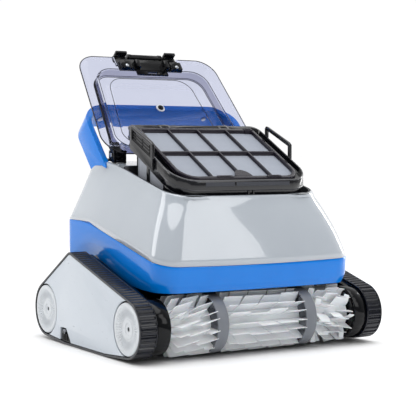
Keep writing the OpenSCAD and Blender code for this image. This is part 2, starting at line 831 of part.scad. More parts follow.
// Cuts that part the cage and its mesh into four walls and a floor, set edge to edge.
module cage_cuts() {
    low_front = [98, -62, floor_z + cage_floor_t];
    knee_front = [85, -83, cage_knee_z];
    back = [90, basket_back - 33, floor_z + cage_floor_t];
    both_sides() corner_cut(low_front, knee_front, -45);
    both_sides() corner_cut(knee_front, knee_front + [0, 0, 150], -45);
    both_sides() corner_cut(back, back + [0, 0, 300], 45);
    translate([-200, -200, floor_z + cage_floor_t]) cube([400, 400, slit]);
}

module basket_cage() {
    color("#2b2c33") difference() {
        cage_form(0);
        translate([0, 0, 0.01]) cage_form(cage_floor_t);
        intersection() {
            union() {
                for (y = [-76, -24]) translate([-200, y, 150]) cube([400, 46, 200]);
                for (x = [-78, -24, 30]) translate([x, -200, 150]) cube([48, 400, 78]);
            }
            below_plane(top_z - ring_h - 5, top_slope);
        }
        both_sides() translate([duct_x - 42, -15, 0]) cube([84, 30, 180]);
        above_plane(top_z - ring_h - 1.2, top_slope);
        cage_cuts();
    }
}

module basket_mesh() {
    color("#b8bec9") intersection() {
        difference() {
            cage_form(2.6);
            translate([0, 0, 0.01]) cage_form(3.8);
            translate([-200, -200, 0]) cube([400, 400, floor_z + 6]);
            cage_cuts();
        }
        below_plane(top_z - ring_h - 1.4, top_slope);
    }
}

// A loop handle on each side of the ring.
module basket_handles() {
    color("#202126") both_sides() difference() {
        translate([ring_hw, 0, 0]) rotate([90, 0, 90]) linear_extrude(4.4) polygon([
            [14, 309], [14, 345], [11, 348], [6, 346.5], [-55, 320.5], [-59, 317], [-59, 276]
        ]);
        translate([ring_hw - 5, 0, 0]) rotate([90, 0, 90]) linear_extrude(20) polygon([
            [7.5, 325], [7.5, 340.5], [-52.5, 314.5], [-52.5, 297]
        ]);
    }
}

module top_grid() {
    for (x = [-panel_hw / 2, 0, panel_hw / 2]) translate([x - 1.4, -150, 0]) cube([2.8, 300, 500]);
    translate([-150, -44, 0]) cube([300, 2.8, 500]);
}

module basket_top_frame() {
    color("#2b2c33") {
        between_top_planes(top_z - 6, top_z) difference() {
            linear_extrude(500) polygon(plate(panel_hw, -118, 29.5, 30, 8, 8));
            difference() {
                linear_extrude(500) polygon(plate(panel_hw - 5, -113, 24.5, 25, 8, 4));
                top_grid();
            }
        }
        both_sides() difference() {
            union() {
                bar_x(50.2, 61.8, top_hinge_y, top_hinge_z, 2.3);
                translate([50.2, top_hinge_y - 5, top_hinge_z - 2.2]) cube([11.6, 5, 3]);
            }
            bar_x(40, 70, top_hinge_y, top_hinge_z, 1.2 + run_gap);
        }
    }
}

module basket_top_mesh() {
    color("#b8bec9") between_top_planes(top_z - 7.2, top_z - 6.1)
        linear_extrude(500) polygon(plate(panel_hw - 3, -115, 26.5, 27, 8, 6));
}

// The middle of the whole is brought over the origin.
translate([0, -middle_y, 0]) {
    upper_shell();
    lower_shell();
    chassis_tub();
    base_plate();
    base_screws();
    inlet_ducts();
    inlet_flap(-1);  // inlet_flap_left
    inlet_flap(1);  // inlet_flap_right
    filter_well();
    lid_seal();
    carry_handle();
    handle_screws();
    hinge_brackets();
    hinge_pins();
    side_frame(-1);  // side_frame_left
    side_frame(1);  // side_frame_right
    side_panel(-1);  // side_panel_left
    side_panel(1);  // side_panel_right
    track(-1);  // track_left
    track(1);  // track_right
    wheel_axles();
    wheel(-1, -half_wb);  // front_wheel_left
    wheel(1, -half_wb);  // front_wheel_right
    wheel(-1, half_wb);  // rear_wheel_left
    wheel(1, half_wb);  // rear_wheel_right
    hub(-1, -half_wb);  // front_hub_left
    hub(1, -half_wb);  // front_hub_right
    hub(-1, half_wb);  // rear_hub_left
    hub(1, half_wb);  // rear_hub_right
    drive_sprocket(-1);  // drive_sprocket_left
    drive_sprocket(1);  // drive_sprocket_right
    drive_motor(-1);  // drive_motor_left
    drive_motor(1);  // drive_motor_right
    brush_tube(-half_wb);  // front_brush_tube
    brush_fins(-half_wb);  // front_brush_fins
    brush_rings(-half_wb);  // front_brush_rings
    brush_tube(half_wb);  // rear_brush_tube
    brush_fins(half_wb);  // rear_brush_fins
    brush_rings(half_wb);  // rear_brush_rings
    pump_motor();
    impeller();
    outlet_duct();
    outlet_grille();
    control_box();
    cable_gland();
    lid_cover();
    lid_hinge_arms();
    lid_vent();
    latch_base();
    latch_screws();
    latch_button();
    latch_pin();
    latch_hook(-1);  // latch_hook_left
    latch_hook(1);  // latch_hook_right
    basket_ring();
    basket_cage();
    basket_mesh();
    basket_handles();
    basket_top_frame();
    basket_top_mesh();
}
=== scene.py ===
# The looks of a tracked pool cleaner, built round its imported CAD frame.
import bpy
import bmesh
import json
import math
import random
from mathutils import Matrix, Vector


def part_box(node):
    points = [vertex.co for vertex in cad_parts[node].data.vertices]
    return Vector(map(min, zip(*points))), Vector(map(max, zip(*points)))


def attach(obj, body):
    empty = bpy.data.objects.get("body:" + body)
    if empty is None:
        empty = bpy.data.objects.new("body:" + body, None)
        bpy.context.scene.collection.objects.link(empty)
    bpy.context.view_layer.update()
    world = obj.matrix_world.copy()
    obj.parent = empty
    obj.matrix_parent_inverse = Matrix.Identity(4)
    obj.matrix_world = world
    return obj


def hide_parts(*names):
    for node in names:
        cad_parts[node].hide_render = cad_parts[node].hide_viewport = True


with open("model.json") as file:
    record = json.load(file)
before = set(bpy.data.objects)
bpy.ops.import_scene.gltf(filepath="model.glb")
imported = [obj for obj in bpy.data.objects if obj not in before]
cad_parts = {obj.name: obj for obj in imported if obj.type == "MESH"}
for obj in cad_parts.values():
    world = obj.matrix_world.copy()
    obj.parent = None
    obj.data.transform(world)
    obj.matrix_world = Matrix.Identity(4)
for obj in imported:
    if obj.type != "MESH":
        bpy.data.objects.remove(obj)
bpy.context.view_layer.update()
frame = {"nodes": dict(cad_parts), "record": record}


def centre(node):
    lo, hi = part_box(node)
    return [(lo[i] + hi[i]) / 2 for i in range(3)]


# MID_Y is in metres. All other lengths are millimetres, with Y = 0 midway between the axles.
MID_Y = (centre("front_wheel_left")[1] + centre("rear_wheel_left")[1]) / 2
AXLE_Y = (centre("rear_wheel_left")[1] - MID_Y) * 1000
AXLE_Z = centre("rear_wheel_left")[2] * 1000
JOINTS = {j["name"]: j for j in frame["record"]["behaviour"]["joints"]}
HINGE_Y = (JOINTS["lid_hinge"]["pos_m"][1] - MID_Y) * 1000
HINGE_Z = JOINTS["lid_hinge"]["pos_m"][2] * 1000
LEAN = math.atan2(JOINTS["latch_press"]["axis"][2], JOINTS["latch_press"]["axis"][1])
LID_L = 215.0
LID_HALF_HINGE, LID_HALF_LATCH = 147.0, 136.0


def P(x, y, z):
    """A place in the shared frame, in metres, from millimetres."""
    return Vector((x / 1000, y / 1000 + MID_Y, z / 1000))


def in_lid(x, y, z):
    """The same for a place on the open lid: x across, y from hinge to latch, z towards its inner side."""
    c, s = math.cos(LEAN), math.sin(LEAN)
    return P(x, HINGE_Y + y * c - z * s, HINGE_Z + y * s + z * c)


# ---------- materials ----------

COAT_ROUGH = 0.03
DUST = "B9B5AC"
SOFT_DEPTH, GRAIN_DEPTH, WEAVE_DEPTH = 0.004, 0.0004, 0.0005    # metres
MESH_PITCH = 0.0011                  # metres from thread to thread
MESH_SCALE = math.pi / 10 / MESH_PITCH    # a wave texture repeats every pi / 10 / scale


def rgb(code):
    """A linear colour from an sRGB hex code."""
    v = [int(code[i:i + 2], 16) / 255 for i in (0, 2, 4)]
    return tuple(c / 12.92 if c < 0.04045 else ((c + 0.055) / 1.055) ** 2.4 for c in v) + (1.0,)


def mix_rgb(nt, fac, a, b):
    n = nt.nodes.new("ShaderNodeMix")
    n.data_type = "RGBA"
    for i, v in ((0, fac), (6, a), (7, b)):
        if hasattr(v, "links"):
            nt.links.new(v, n.inputs[i])
        else:
            n.inputs[i].default_value = v
    return n.outputs[2]


def spread(nt, value, lo, hi, out_lo, out_hi):
    n = nt.nodes.new("ShaderNodeMapRange")
    nt.links.new(value, n.inputs["Value"])
    for k, v in (("From Min", lo), ("From Max", hi), ("To Min", out_lo), ("To Max", out_hi)):
        n.inputs[k].default_value = v
    return n.outputs["Result"]


def noise(nt, where, scale, detail=4.0, rough=0.55):
    n = nt.nodes.new("ShaderNodeTexNoise")
    nt.links.new(where, n.inputs["Vector"])
    n.inputs["Scale"].default_value = scale
    n.inputs["Detail"].default_value = detail
    n.inputs["Roughness"].default_value = rough
    return n.outputs["Fac"]


def stretched(nt, where, sx, sy, sz):
    n = nt.nodes.new("ShaderNodeMapping")
    nt.links.new(where, n.inputs["Vector"])
    n.inputs["Scale"].default_value = (sx, sy, sz)
    return n.outputs["Vector"]


def bands(nt, where, scale, direction):
    n = nt.nodes.new("ShaderNodeTexWave")
    n.bands_direction = direction
    nt.links.new(where, n.inputs["Vector"])
    n.inputs["Scale"].default_value = scale
    return n.outputs["Fac"]


def greater(nt, a, b):
    n = nt.nodes.new("ShaderNodeMath")
    n.operation = "MAXIMUM"
    nt.links.new(a, n.inputs[0])
    nt.links.new(b, n.inputs[1])
    return n.outputs[0]


def bump_by(nt, bsdf, height, strength, distance):
    n = nt.nodes.new("ShaderNodeBump")
    n.inputs["Strength"].default_value = strength
    n.inputs["Distance"].default_value = distance
    nt.links.new(height, n.inputs["Height"])
    nt.links.new(n.outputs["Normal"], bsdf.inputs["Normal"])


def material(name, base, rough, other=None, vary=0.35, grain=900.0, bump=0.04, metal=0.0,
             coat=0.0, clear=0.0, ior=1.47, dust=0.0, brushed=None, spec=0.5, soft=0.0, coat_ior=1.5):
    """A moulded or painted surface: two near colours blended by noise, uneven roughness and a fine grain."""
    m = bpy.data.materials.new(name)
    m.use_nodes = True
    nt = m.node_tree
    bsdf = nt.nodes["Principled BSDF"]
    where = nt.nodes.new("ShaderNodeTexCoord").outputs["Object"]
    if brushed:
        where = stretched(nt, where, *brushed)
    broad = noise(nt, where, 14.0)
    fine = noise(nt, where, grain, 3.0, 0.6)
    scuff = noise(nt, stretched(nt, where, 1.0, 1.0, 3.0), 60.0, 6.0, 0.7)
    a = rgb(base)
    b = rgb(other) if other else tuple(c * 0.9 for c in a[:3]) + (1.0,)
    col = mix_rgb(nt, spread(nt, broad, 0.35, 0.65, 0.0, vary), a, b)
    if dust:
        col = mix_rgb(nt, spread(nt, scuff, 0.55, 0.8, 0.0, dust), col, rgb(DUST))
    nt.links.new(col, bsdf.inputs["Base Color"])
    uneven = spread(nt, scuff, 0.3, 0.75, rough * 0.88, min(1.0, rough * 1.18))
    nt.links.new(uneven, bsdf.inputs["Roughness"])
    for key, value in (("Metallic", metal), ("IOR", ior), ("Transmission Weight", clear),
                       ("Coat Weight", coat), ("Coat Roughness", COAT_ROUGH), ("Coat IOR", coat_ior),
                       ("Specular IOR Level", spec), ("Subsurface Weight", soft),
                       ("Subsurface Scale", SOFT_DEPTH)):
        bsdf.inputs[key].default_value = value
    bump_by(nt, bsdf, fine, bump, GRAIN_DEPTH)
    return m


def net(name, thread, hole):
    """A woven mesh: threads both ways over a darker ground."""
    m = material(name, thread, 0.75, bump=0.1)
    nt = m.node_tree
    bsdf = nt.nodes["Principled BSDF"]
    where = nt.nodes.new("ShaderNodeTexCoord").outputs["Object"]
    along_x, along_y, along_z = [bands(nt, where, MESH_SCALE, d) for d in "XYZ"]
    threads = greater(nt, along_x, greater(nt, along_y, along_z))
    cloud = noise(nt, where, 22.0, 5.0)
    ground = mix_rgb(nt, spread(nt, cloud, 0.35, 0.7, 0.0, 0.5), rgb(hole), rgb(thread))
    col = mix_rgb(nt, spread(nt, threads, 0.45, 0.95, 0.0, 1.0), ground, rgb(thread))
    nt.links.new(col, bsdf.inputs["Base Color"])
    bump_by(nt, bsdf, threads, 0.5, WEAVE_DEPTH)
    return m


GREY = material("shell_grey_paint", "B8BFC7", 0.12, "B0B8C1", coat=1.0, coat_ior=1.65, bump=0.012,
                grain=1500)
BLUE = material("shell_blue_plastic", "0080E4", 0.16, "0074D6", coat=0.4, spec=0.25, bump=0.015,
                grain=1500)
BLACK = material("black_satin_plastic", "111216", 0.34, "18191E", bump=0.08, dust=0.03, spec=0.2)
GLOSS = material("black_gloss_plastic", "08090C", 0.14, "0E0F13", coat=0.12, spec=0.2, bump=0.02)
DARK = material("dark_grey_plastic", "2C2E34", 0.45, "24262B", bump=0.1, dust=0.06, spec=0.25)
PANEL = material("panel_grey_plastic", "CAD1D9", 0.3, "BFC8D1", coat=0.2, bump=0.05, grain=1200)
HUB = material("hub_grey_plastic", "D3D7DB", 0.3, "C6CCD2", coat=0.2, bump=0.04)
BELT = material("belt_rubber", "0B0E18", 0.24, "121828", bump=0.1, dust=0.02, grain=700, coat=0.35,
                spec=0.35)
FIN = material("fin_rubber", "F0F2F4", 0.5, "DFE3E8", bump=0.12, soft=0.1, grain=500)
RING = material("ring_grey_plastic", "7C8087", 0.34, "70747B", bump=0.06, spec=0.35)
CLEAR = material("clear_lid_plastic", "D0D4E6", 0.02, "C6CADF", clear=1.0, ior=1.18, bump=0.0,
                 vary=0.25)
SMOKE = material("lid_wall_plastic", "A3A6BE", 0.04, "9093AD", clear=1.0, ior=1.18, bump=0.0,
                 vary=0.4)
LINE = material("lid_edge_plastic", "16161F", 0.12, "22232E", coat=0.2, spec=0.25, bump=0.01)
STEEL = material("brushed_steel", "B4B8BD", 0.3, "9EA3A9", metal=1.0, brushed=(1, 12, 12), bump=0.08)
SEAL = material("seal_rubber", "17181C", 0.6, "202126", bump=0.15, spec=0.2)
MOTOR = material("motor_paint", "6F747B", 0.45, "63686F", bump=0.15, dust=0.08)
ROTOR = material("impeller_plastic", "3F7FBF", 0.35, "356FAA", bump=0.05)
MESH = net("filter_mesh", "A8AEBA", "929AA8")
SIDE_MESH = net("cage_mesh", "B4B9C3", "8B919C")
# Painted highlight: the pale of the clear boss on the lid, given as a colour.
VENT_PAINTED_HIGHLIGHT = material("vent_painted_highlight", "DDE0E6", 0.3, "CFD3DA", bump=0.04)
FRAME = material("basket_frame_plastic", "1A1622", 0.26, "241F2F", coat=0.15, spec=0.3, bump=0.05)
LIP = material("basket_lip_plastic", "30323A", 0.1, "3A3C45", coat=0.9, bump=0.01)
INLAY = material("ring_inlay_plastic", "44464D", 0.3, "3A3C43", bump=0.04, spec=0.35)
BASKET = material("basket_ring_plastic", "0E0F13", 0.15, "16171D", coat=0.5, spec=0.4, bump=0.03)

# ---------- building ----------

WELD = 0.00002      # metres
FLAT_ANGLE = 0.4    # degrees; flatter edges than this are dissolved
EDGE_ANGLE = 30.0   # degrees; sharper edges than this are rounded
BEAD_SIDES = 6


def place(name, bm, mat, body, nodes=(), sharp=32.0, bevel=0.0, segments=2):
    """Turns a bmesh in the shared frame into a piece that rides on a body and stands for nodes."""
    bmesh.ops.recalc_face_normals(bm, faces=bm.faces)
    me = bpy.data.meshes.new(name)
    bm.to_mesh(me)
    bm.free()
    for p in me.polygons:
        p.use_smooth = True
    if not bevel:
        me.set_sharp_from_angle(angle=math.radians(sharp))
    ob = bpy.data.objects.new(name, me)
    bpy.context.collection.objects.link(ob)
    me.materials.append(mat)
    if bevel:
        b = ob.modifiers.new("edge", "BEVEL")
        b.limit_method = "ANGLE"
        b.angle_limit = math.radians(sharp)
        b.width = bevel / 1000
        b.segments = segments
        b.harden_normals = True
        b.use_clamp_overlap = True
    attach(ob, body)
    if nodes:
        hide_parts(*nodes)
    return ob


def body_with(node):
    """The name of the body that carries a CAD node; nodes that no body names are on the chassis."""
    for name, nodes in frame["record"]["behaviour"]["bodies"].items():
        if node in nodes:
            return name
    return "chassis"


def refine(node, mat, bevel, segments=2):
    """A clean copy of a CAD node, with its edges rounded."""
    bm = bmesh.new()
    bm.from_mesh(frame["nodes"][node].data)
    bmesh.ops.remove_doubles(bm, verts=bm.verts, dist=WELD)
    bmesh.ops.dissolve_limit(bm, angle_limit=math.radians(FLAT_ANGLE), verts=bm.verts, edges=bm.edges)
    place(node + "_look", bm, mat, body_with(node), (node,), EDGE_ANGLE, bevel, segments)


def loft(bm, rings, cap_start=False, cap_end=False, loop=False):
    """Skins a list of rings of points, all of one count; with loop the last ring joins the first."""
    rows = [[bm.verts.new(p) for p in ring] for ring in rings]
    n = len(rows[0])
    for a, b in zip(rows, rows[1:] + rows[:1] if loop else rows[1:]):
        for i in range(n):
            j = (i + 1) % n
            bm.faces.new((a[i], a[j], b[j], b[i]))
    if cap_start:
        bm.faces.new(rows[0])
    if cap_end:
        bm.faces.new(rows[-1])


def cube(bm, lo, hi, at=P):
    """A box between two corners, each corner put into the shared frame by at."""
    v = [bm.verts.new(at(*((lo, hi)[i >> k & 1][k] for k in range(3)))) for i in range(8)]
    for f in ((0, 2, 3, 1), (4, 5, 7, 6), (0, 1, 5, 4), (2, 6, 7, 3), (0, 4, 6, 2), (1, 3, 7, 5)):
        bm.faces.new([v[i] for i in f])


def circle(middle, side, up, r, n):
    """n points round a place in the shared frame, at a radius in millimetres."""
    return [middle + (side * math.cos(t) + up * math.sin(t)) * r / 1000
            for t in (2 * math.pi * k / n for k in range(n))]


def rod(bm, a, b, r, n, r1=None):
    """A bar of n sides between two places in the shared frame; r and r1 are the radii at its ends."""
    axis = (b - a).normalized()
    side = axis.cross(Vector((0.3, 0.5, 0.8))).normalized()
    up = axis.cross(side)
    ends = ((a, r), (b, r if r1 is None else r1))
    loft(bm, [circle(p, side, up, radius, n) for p, radius in ends], cap_start=True, cap_end=True)


def bead(bm, pts, r, closed=True):
    """A thin round bead along a line of places in the shared frame."""
    hoops = []
    m = len(pts)
    for i, p in enumerate(pts):
        a, b = (pts[i - 1], pts[(i + 1) % m]) if closed else (pts[max(0, i - 1)], pts[min(m - 1, i + 1)])
        axis = (b - a).normalized()
        side = axis.cross(Vector((0.31, -0.76, 0.65))).normalized()
        hoops.append(circle(p, side, axis.cross(side), r, BEAD_SIDES))
    if closed:
        hoops.append(hoops[0])
    loft(bm, hoops, cap_start=not closed, cap_end=not closed)


def turned(bm, profile, x0, y, z, side, n, wave=None):
    """Revolves (radius, offset along X) in n steps about an X axis at y, z; wave(r, a) adds to the offset."""
    rings = []
    for r, dx in profile:
        ring = []
        for k in range(n):
            a = 2 * math.pi * k / n
            w = wave(r, a) if wave else 0.0
            ring.append(P(side * (x0 + dx + w), y + r * math.cos(a), z + r * math.sin(a)))
        rings.append(ring)
    loft(bm, rings)


def carve(ob, cutter_bm):
    """Cuts boxes out of a piece that has no modifiers, once and for all."""
    me = bpy.data.meshes.new("cutter")
    bmesh.ops.recalc_face_normals(cutter_bm, faces=cutter_bm.faces)
    cutter_bm.to_mesh(me)
    cutter_bm.free()
    cutter = bpy.data.objects.new("cutter", me)
    bpy.context.collection.objects.link(cutter)
    m = ob.modifiers.new("cut", "BOOLEAN")
    m.operation = "DIFFERENCE"
    m.solver = "EXACT"
    m.object = cutter
    bpy.context.view_layer.update()
    cut = ob.evaluated_get(bpy.context.evaluated_depsgraph_get())
    ob.data = bpy.data.meshes.new_from_object(cut)
    ob.modifiers.remove(m)
    bpy.data.objects.remove(cutter)


# ---------- shell ----------

CORNER_STEPS = 14              # steps round each corner of a ring
PAD_STEPS, LID_STEPS = 8, 6    # steps along each straight edge of a shell ring and of a lid ring


def arc(cx, cy, r, a0, a1):
    """Points of a circle from one angle to another, in degrees."""
    out = []
    for i in range(CORNER_STEPS + 1):
        a = math.radians(a0 + (a1 - a0) * i / CORNER_STEPS)
        out.append((cx + r * math.cos(a), cy + r * math.sin(a)))
    return out


def straight(a, b, steps):
    """The points between a and b at equal steps, without a and b themselves."""
    return [(a[0] + (b[0] - a[0]) * i / steps, a[1] + (b[1] - a[1]) * i / steps)
            for i in range(1, steps)]


def pad(hw, yf, yb, r, bow):
    """A rounded rectangle with bowed front and back edges, always the same count of points."""
    steps = [1 - 2 * i / PAD_STEPS for i in range(1, PAD_STEPS)]
    w, front, back = hw - r, yf + bow + r, yb - bow - r
    pts = arc(w, back, r, 0, 88) + [(k * w, yb - bow * k * k) for k in steps]
    pts += arc(-w, back, r, 92, 180) + straight((-hw, back), (-hw, front), PAD_STEPS)
    pts += arc(-w, front, r, 180, 268) + [(-k * w, yf + bow * k * k) for k in steps]
    pts += arc(w, front, r, 272, 360) + straight((hw, front), (hw, back), PAD_STEPS)
    return pts


def profile_at(points, y):
    """A smooth curve through (y, z) points."""
    if y <= points[0][0]:
        return points[0][1]
    for (y0, z0), (y1, z1) in zip(points, points[1:]):
        if y <= y1:
            t = (y - y0) / (y1 - y0)
            return z0 + (z1 - z0) * (0.35 * t + 0.65 * t * t * (3 - 2 * t))
    return points[-1][1]


# Heights (y, z) along each side: the seam of the two shells, the lower shell's bottom edge and its fold.
SEAM = [(-200, 130.4), (55, 189.0), (80, 193.2), (105, 194.8), (200, 194.8)]
BOTTOM = [(-200, 97.8), (-150, 98.5), (-82, 100), (-60, 103), (46, 135), (58, 138), (70, 135),
          (150, 104), (200, 99)]
FOLD = [(-200, 103.6), (-143, 111.5), (-94, 118), (-45, 131), (-8, 147), (20, 156), (70, 161),
        (104, 154), (150, 122), (200, 108)]
# Rings of the shells: half width, front, back, corner radius and bow.
RIM_LOW = (138.5, -137.5, 134, 36, 5)
SEAM_RING = (176.7, -173.7, 173.7, 37, 6)
# The rim of the opening slopes up to the rear and then runs level.
RIM_Z, RIM_SLOPE, RIM_TOP = 271.9, 0.25, 289.95
SHOULDER_Y, SHOULDER_LEN = 28, 58


def seam_z(y):
    """The height of the seam, in straight runs."""
    for (y0, z0), (y1, z1) in zip(SEAM, SEAM[1:]):
        if y <= y1:
            return z0 + (z1 - z0) * (y - y0) / (y1 - y0)
    return SEAM[-1][1]


def between(a, b, t, bulge=0.0):
    """A ring part of the way from one ring spec to the next, pushed out a little."""
    return tuple(u + (v - u) * t + s * bulge for u, v, s in zip(a, b, (1, -1, 1, 0.5, 0)))


def lerp(a, b, t):
    """A tuple part of the way between two tuples."""
    return tuple(u + (v - u) * t for u, v in zip(a, b))


def rim_z(y):
    return min(RIM_TOP, RIM_Z + RIM_SLOPE * y)


def opening(drop):
    """The edge of the opening, with broad front corners and tighter rear ones."""
    front, back = (pad(134.9, -131.9, 44.9, r, 0) for r in (38.5, 25))
    pts = [a if a[1] < -40 else b for a, b in zip(front, back)]
    return [P(x, y, rim_z(y) - drop) for x, y in pts]


def upper_shell():
    """Each ring follows one law in front and another round the rear shoulder, which flares and levels off.

    A row is a ring in front, its height as a function of y, and half width, back and height at the rear.
    """
    seam_back, rim_back = (176.7, 173.7, 194.8), (149.5, 151, 272)
    rows = [(SEAM_RING, lambda y: seam_z(y) + 0.35, (176.7, 173.7, 194.9))]
    for i in range(1, 10):
        t = i / 9
        rows.append((between(SEAM_RING, RIM_LOW, t, 4.2 * math.sin(math.pi * t)),
                     lambda y, t=t: (1 - t) * (seam_z(y) + 0.35) + t * (RIM_Z - 6 + RIM_SLOPE * y),
                     lerp(seam_back, rim_back, t)))
    for hw, yf, dz, back in ((138.1, -137.1, -3.6, (149.1, 147, 277.5)),
                             (137.5, -136.5, -1.9, (148, 140, 283)),
                             (136.9, -135.9, -0.7, (146, 135.5, 286.4)),
                             (136.0, -135.0, 0.0, (143.3, 131, 288.8)),
                             (135.6, -133.6, 0.0, (137, 127, RIM_TOP))):
        rows.append(((hw, yf, 134, 36, 5), lambda y, dz=dz: RIM_Z + dz + RIM_SLOPE * y, back))
    skin = []
    for (hw, yf, _, r, bow), z, (hw_back, yb, z_back) in rows:
        ring = []
        for x, y in pad(hw, yf, yb, r, bow):
            k = min(1.0, max(0.0, (y - SHOULDER_Y) / SHOULDER_LEN))
            k = k * k * (3 - 2 * k)
            level = (1 - k) * z(min(y, 74)) + k * z_back
            if y < 72:    # under the shut lid the shoulder stays below the plane of the rim
                level = min(level, RIM_Z - 0.05 + RIM_SLOPE * y)
            ring.append(P(x * (1 + (hw_back / hw - 1) * k), y, level))
        skin.append(ring)
    skin.append([P(x, y, rim_z(y)) for x, y in pad(135.2, -132.6, 76, 40, 0)])
    bm = bmesh.new()
    loft(bm, skin + [opening(0), opening(5)])
    ob = place("upper_shell_look", bm, GREY, "chassis", ("upper_shell",), 50)
    wall = ob.modifiers.new("wall", "SOLIDIFY")
    wall.thickness = 0.0028    # metres
    wall.offset = -1


def lower_shell():
    """From the hidden step at the seam, down the side and the fold, and round the bottom edge inwards."""
    fold = (176.2, -173.0, 173.0, 37, 6)
    low = (170.4, -167.6, 167.6, 34, 5)
    specs = [
        ((173.6, -170.6, 170.6, 35, 6), lambda y: seam_z(y) + 2.6),
        ((173.9, -170.9, 170.9, 35, 6), lambda y: seam_z(y) - 0.6),
        ((175.9, -172.9, 172.9, 36, 6), lambda y: seam_z(y) - 0.45),
        ((176.6, -173.6, 173.6, 37, 6), lambda y: seam_z(y) - 1.3),
        (SEAM_RING, lambda y: seam_z(y) - 3.2),
        (between(SEAM_RING, fold, 0.5, 0.3), lambda y: 0.5 * seam_z(y) + 0.5 * profile_at(FOLD, y)),
        (fold, lambda y: profile_at(FOLD, y) + 1.6),
        (between(fold, low, 0.12), lambda y: profile_at(FOLD, y) - 0.4),
        (between(fold, low, 0.86), lambda y: profile_at(BOTTOM, y) + 2.2),
        (low, lambda y: profile_at(BOTTOM, y) + 0.3),
        (between(low, (167, -164, 164, 32, 5), 0.5), lambda y: profile_at(BOTTOM, y)),
        ((167.5, -164.5, 164.5, 32, 5), lambda y: profile_at(BOTTOM, y) + 0.6),
        ((168.6, -165.6, 165.6, 33, 5), lambda y: profile_at(BOTTOM, y) + 8),
    ]
    bm = bmesh.new()
    loft(bm, [[P(x, y, z(y)) for x, y in pad(*spec)] for spec, z in specs])
    place("lower_shell_look", bm, BLUE, "chassis", ("lower_shell",), 50)


upper_shell()
lower_shell()

# ---------- tracks ----------

# The belt's path: (y, z, radius) of each circle that it runs round, anticlockwise from the front wheel.
PULLEYS = [(-AXLE_Y, AXLE_Z, 44), (-70, 8, 8), (70, 8, 8), (AXLE_Y, AXLE_Z, 44), (50, 132, 16)]
TRACK_IN, TRACK_OUT = (corner[0] * 1000 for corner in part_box("track_right"))


def loop_line(count):
    """Points and outward normals at equal steps round the belt's path."""
    n = len(PULLEYS)
    ang = []    # where the belt leaves each circle, as an angle
    for i in range(n):
        a, b = PULLEYS[i], PULLEYS[(i + 1) % n]
        dy, dz = b[0] - a[0], b[1] - a[1]
        ang.append(math.atan2(dz, dy) - math.pi / 2 + math.asin((a[2] - b[2]) / math.hypot(dy, dz)))
    pts = []
    for i in range(n):
        p = PULLEYS[i]
        a0, a1 = ang[i - 1], ang[i]
        while a1 < a0:
            a1 += 2 * math.pi
        m = max(2, int((a1 - a0) / math.radians(2)) + 1)
        for k in range(m + 1):
            a = a0 + (a1 - a0) * k / m
            pts.append((p[0] + p[2] * math.cos(a), p[1] + p[2] * math.sin(a)))
    total = 0.0
    cum = [0.0]    # the length of the path up to each point
    for i in range(len(pts)):
        q = pts[(i + 1) % len(pts)]
        total += math.hypot(q[0] - pts[i][0], q[1] - pts[i][1])
        cum.append(total)
    out = []
    j = 0
    for k in range(count):
        s = total * k / count
        while cum[j + 1] < s:
            j += 1
        a, b = pts[j], pts[(j + 1) % len(pts)]
        t = (s - cum[j]) / max(1e-9, cum[j + 1] - cum[j])
        d = Vector((b[0] - a[0], b[1] - a[1])).normalized()
        out.append(((a[0] + (b[0] - a[0]) * t, a[1] + (b[1] - a[1]) * t), (d[1], -d[0])))
    return out


def track(side):
    """A rubber belt: close cross ribs between two thin lips, flat inside."""
    ribs = 96
    lift = [2.5, 2.5, 2.1, 0.5, 0.05, 0.05, 0.3, 1.9]    # depth below the outer line, along one rib
    x0, x1, mid = TRACK_IN, TRACK_OUT, (TRACK_IN + TRACK_OUT) / 2
    # (x, depth below the outer line) across the belt; a depth of None follows the ribs
    across = [(x0, 3.6), (x0, 0.7), (x0 + 0.5, 0.25), (x0 + 1.2, 0.25), (x0 + 1.7, 1.0),
              (x0 + 2.2, None), (mid - 0.6, None), (mid + 0.6, None), (x1 - 2.2, None),
              (x1 - 1.7, 1.0), (x1 - 1.2, 0.25), (x1 - 0.5, 0.25), (x1, 0.7), (x1, 3.6)]
    skin = []
    for k, (p, out) in enumerate(loop_line(ribs * len(lift))):
        depths = [lift[k % len(lift)] if depth is None else depth for _, depth in across]
        skin.append([P(side * x, p[0] - out[0] * d, p[1] - out[1] * d) for (x, _), d in zip(across, depths)])
    bm = bmesh.new()
    loft(bm, skin, loop=True)
    name = "right" if side > 0 else "left"
    place("track_%s_look" % name, bm, BELT, "chassis", ("track_" + name,), 28)


FLUTE_IN, FLUTE_OUT, FLUTES = 16, 33, 44
HUB_X = TRACK_OUT - 3.4


def flute(r, a):
    """The depth of the radial flutes of a hub disc, at a radius and an angle."""
    if r < FLUTE_IN or r > FLUTE_OUT:
        return 0.0
    w = math.sin(math.pi * (r - FLUTE_IN) / (FLUTE_OUT - FLUTE_IN))
    return -1.8 * w * (0.5 + 0.5 * math.cos(a * FLUTES))


def hub(side, y, name):
    """A pale dished disc with fine radial flutes, a rim and a dark centre hole."""
    prof = [(3.2, -3.4), (3.2, -0.9), (3.7, -0.5), (8.2, -0.5), (9.0, 0.4), (13.6, 0.6), (14.6, -0.2),
            (FLUTE_IN, -0.3)]
    prof += [(FLUTE_IN + (FLUTE_OUT - FLUTE_IN) * k / 10, -0.3 + 2.8 * k / 10) for k in range(1, 11)]
    prof += [(33.8, 2.75), (35.0, 2.85), (37.6, 2.85), (38.5, 2.5), (38.9, 1.7), (38.9, 0.2), (33.5, 0.2)]
    bm = bmesh.new()
    turned(bm, prof, HUB_X, y, AXLE_Z, side, 8 * FLUTES, flute)
    place(name + "_look", bm, HUB, body_with(name), (name,), 24)
    bm = bmesh.new()
    turned(bm, [(0.02, -1.6), (3.3, -1.6), (3.3, -3.0), (0.02, -3.0)], HUB_X, y, AXLE_Z, side, 32)
    place(name + "_hole", bm, BLACK, body_with(name))


